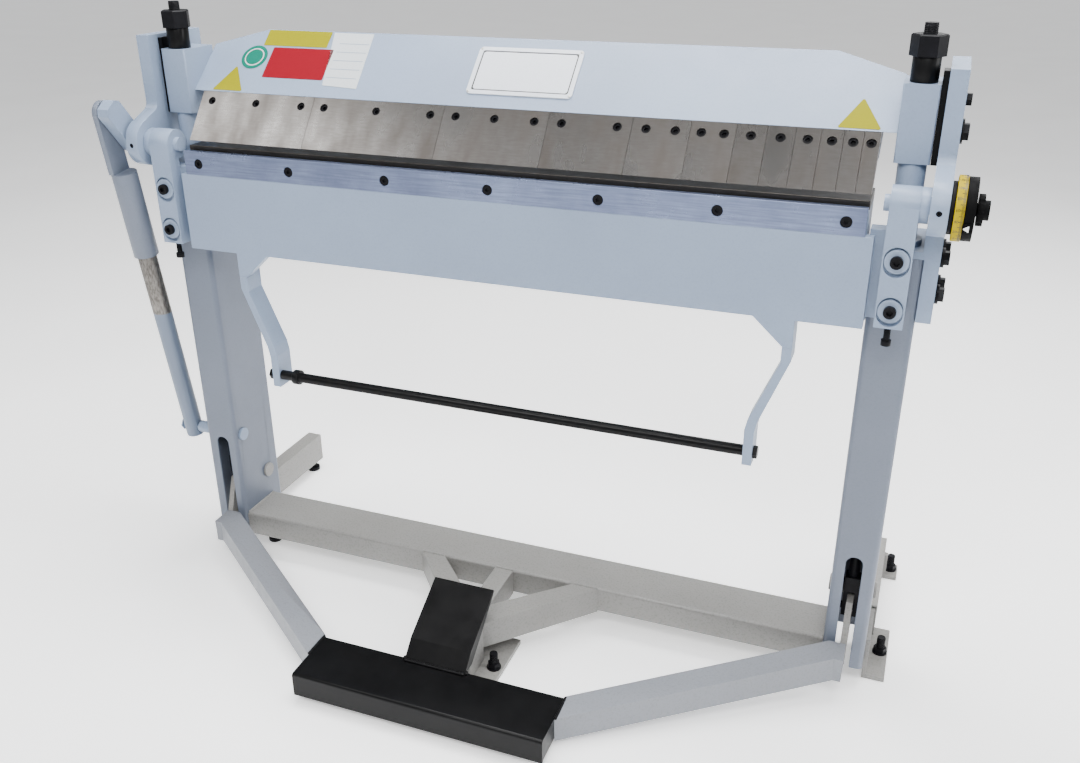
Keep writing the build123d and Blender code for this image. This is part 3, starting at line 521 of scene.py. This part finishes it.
# ---- threads ------------------------------------------------------------------------------
rod_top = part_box("lift_rods")[1][2]
nut_low, nut_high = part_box("clamp_nut_right")
rod_y = (nut_low[1] + nut_high[1]) / 2
sunk = 0.001                # how far a rod thread starts inside its nut
screw_head = 0.0085
for side, sign in (("left", -1), ("right", 1)):
    thread(f"rod_thread_{side}", (sign * POST_X, rod_y, nut_high[2] - sunk), rod_top - sunk,
           "lift_gear", root=0.0099, crest=0.0107, pitch=0.0025)
    screw_low, screw_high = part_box(f"adjusting_screw_{side}")
    middle = (screw_low + screw_high) / 2
    thread(f"adjuster_thread_{side}", (middle[0], middle[1], screw_low[2] + screw_head),
           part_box("hinge_blocks")[0][2], f"adjuster_{side}", root=0.0049, crest=0.0054, pitch=0.0015)

anchor_nut_top = 0.0225
anchor_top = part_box("floor_bolts")[1][2]
anchors = [(-0.0675, -0.215), (0.0525, -0.215)]         # the pair through the nose plate
anchors += [(sign * x, y) for x, y in ((0.753, 0.097), (0.752, 0.402)) for sign in both]
for index, (x, y) in enumerate(anchors):
    thread(f"anchor_thread_{index}", (x, y, anchor_nut_top), anchor_top, "frame",
           root=0.0074, crest=0.0081, pitch=0.002)

# ---- weld beads ---------------------------------------------------------------------------
hood_low, hood_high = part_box("treadle_hood")
tread_low, tread_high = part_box("treadle")
tread_top = tread_high[2]
seam_y, seam_z = hood_low[1] - 0.0005, tread_top + 0.0005
bead("hood_bead", (hood_low[0], seam_y, seam_z), (hood_high[0], seam_y, seam_z),
     "pedal", "black_paint", 1, r=0.0042)
for index, x in enumerate((hood_low[0] - 0.001, hood_high[0] + 0.001)):
    bead(f"hood_bead_side_{index}", (x, hood_low[1], seam_z),
         (x, hood_low[1] + 0.010, seam_z + 0.001), "pedal", "black_paint", 2 + index, r=0.004)
arm_front, arm_back = -0.363, -0.303
for index, x in enumerate((tread_low[0], tread_high[0])):
    edge = x + both[index] * 0.001
    bead(f"arm_bead_{index}", (edge, arm_front, tread_top - 0.0005),
         (edge, arm_back, tread_top - 0.0005), "pedal", "black_paint", 5 + index, r=0.0035)
truss_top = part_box("truss_bars")[1][2]
beam_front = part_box("foot_beam")[0][1]
truss_ends = ((-0.200, -0.146), (0.146, 0.200), (-0.0275, 0.0125))      # x ranges at the beam
for index, (x0, x1) in enumerate(truss_ends):
    bead(f"truss_bead_{index}", (x0, beam_front, truss_top), (x1, beam_front, truss_top),
         "frame", "base_paint", 8 + index, r=0.0028)
seam_x = 0.647              # 1 mm short of the columns' inner faces
for index, sign in enumerate(both):
    x = sign * seam_x
    bead(f"foot_beam_bead_{index}", (x, beam_front + 0.004, truss_top),
         (x, beam_front + 0.104, truss_top), "frame", "base_paint", 12 + index, r=0.003)
tab_inner, tab_outer, tab_z = 0.5255, 0.5415, 0.6975
tab_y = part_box("apron_arms")[0][1] + 0.001
for index, sign in enumerate(both):
    bead(f"arm_tab_bead_{index}", (sign * tab_inner, tab_y, tab_z), (sign * tab_outer, tab_y, tab_z),
         "apron", "body_paint", 15 + index, r=0.0022)

# ---- angle scale --------------------------------------------------------------------------
ring_low, ring_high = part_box("dial_ring")
axis_y = (ring_low[1] + ring_high[1]) / 2
axis_z = (ring_low[2] + ring_high[2]) / 2
ring_r = (ring_high[2] - ring_low[2]) / 2


def ring_point(x, degrees, lift=0.0):
    """Point on the scale ring's rim; 0 degrees faces the front, turning upwards."""
    angle = math.radians(degrees)
    r = ring_r + lift
    return Vector((x, axis_y - r * math.cos(angle), axis_z + r * math.sin(angle)))


work = bmesh.new()
tick_x = ring_high[0] - 0.0006
for degrees in range(-60, 100, 2):
    long_tick = degrees % 10 == 0
    end_x = tick_x - (0.0065 if long_tick else 0.0038)
    half = 0.6 if long_tick else 0.42        # half the tick's width, in degrees
    corners = ((tick_x, -half), (tick_x, half), (end_x, half), (end_x, -half))
    prism(work, [ring_point(x, degrees + turn, -0.0002) for x, turn in corners],
          [ring_point(x, degrees + turn, 0.00015) for x, turn in corners])
add("scale_ticks", finish_mesh("scale_ticks", work), label_black, "frame")

number_x = ring_low[0] + 0.0044
for count, degrees in enumerate(range(-50, 91, 20)):
    curve = bpy.data.curves.new(f"scale_number_{count}", "FONT")
    curve.body = str(count * 20)
    curve.size = 0.0062
    curve.extrude = 0.0001
    curve.align_x = "CENTER"
    curve.align_y = "CENTER"
    normal = (ring_point(0, degrees, 1.0) - ring_point(0, degrees)).normalized()
    across = Vector((1, 0, 0))
    turned = Matrix((across, normal.cross(across), normal)).transposed().to_4x4()
    text = bpy.data.objects.new(f"scale_number_{count}", curve)
    bpy.context.scene.collection.objects.link(text)
    text.matrix_world = Matrix.Translation(ring_point(number_x, degrees, 0.0001)) @ turned
    text.data.materials.append(label_black)
    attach(text, "frame")

# white pointer on the front of the stop drum
pointer_white = paint("pointer_white", (0.85, 0.85, 0.83), (0.3, 0.4), seed=30, mottle=0.02,
                      peel=0.02)
drum_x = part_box("stop_drum")[0][0]
corners = ((drum_x + 0.0008, -19), (drum_x + 0.0085, -14), (drum_x + 0.0085, -24))
work = bmesh.new()
prism(work, [ring_point(x, degrees, 0.0030) for x, degrees in corners],
      [ring_point(x, degrees, 0.0060) for x, degrees in corners])
add("pointer_mark", finish_mesh("pointer_mark", work), pointer_white, "angle_stop")

# ---- floor, light, camera -----------------------------------------------------------------
floor_look, tree, shader = blank("floor_pale")
base = ramp(tree, noise(tree, 2.0, 3.0), ((0.3, (0.93, 0.93, 0.93)), (0.7, (0.97, 0.97, 0.97))))
tree.links.new(base, shader.inputs["Base Color"])
shader.inputs["Roughness"].default_value = 0.85
shader.inputs["Specular IOR Level"].default_value = 0.15
tree.links.new(base, shader.inputs["Emission Color"])
shader.inputs["Emission Strength"].default_value = 0.6
work = bmesh.new()
bmesh.ops.create_grid(work, x_segments=4, y_segments=4, size=45)
floor = bpy.data.objects.new("floor", finish_mesh("floor", work))
bpy.context.scene.collection.objects.link(floor)
floor.data.materials.append(floor_look)
floor.location = (0, 0, -0.0005)


def light(name, place, aim, size, power):
    """Rectangular soft light turned towards a point."""
    data = bpy.data.lights.new(name, "AREA")
    data.shape = "RECTANGLE"
    data.size, data.size_y = size
    data.energy = power
    made = bpy.data.objects.new(name, data)
    bpy.context.scene.collection.objects.link(made)
    made.location = place
    made.rotation_mode = "QUATERNION"
    made.rotation_quaternion = (Vector(aim) - Vector(place)).to_track_quat("-Z", "Y")


light("top", (0.1, 0.35, 3.5), (0, 0, 0.6), (2.8, 1.4), 225)
light("front", (0.6, -2.1, 2.8), (0, 0, 0.85), (2.6, 0.9), 105)
light("left", (-2.4, -1.3, 3.0), (0, 0, 0.9), (1.6, 1.2), 45)
light("back", (1.4, 2.8, 2.6), (0, 0, 0.9), (2.0, 1.4), 45)
light("right", (3.0, 0.2, 1.8), (0.4, 0, 0.8), (1.6, 2.0), 60)

# pale sky that darkens upwards
world = bpy.data.worlds.new("studio")
bpy.context.scene.world = world
world.use_nodes = True
tree = world.node_tree
backdrop = tree.nodes["Background"]
backdrop.inputs["Color"].default_value = (0.95, 0.97, 1.0, 1)
sky = node(tree, "ShaderNodeTexCoord", -900)
height = node(tree, "ShaderNodeSeparateXYZ", -700)
tree.links.new(sky.outputs["Generated"], height.inputs["Vector"])
tree.links.new(fade(tree, height.outputs["Z"], 0.0, 0.25, 0.75, 0.27), backdrop.inputs["Strength"])

# fitted to the photograph's edges by perspective
camera_data = bpy.data.cameras.new("camera")
camera_data.lens = 34.729
camera_data.sensor_width = 36
camera = bpy.data.objects.new("camera", camera_data)
bpy.context.scene.collection.objects.link(camera)
camera.location = (0.7216, -1.6986, 1.3601)
camera.rotation_euler = tuple(math.radians(angle) for angle in (65.595, 0.329, 20.834))
bpy.context.scene.camera = camera
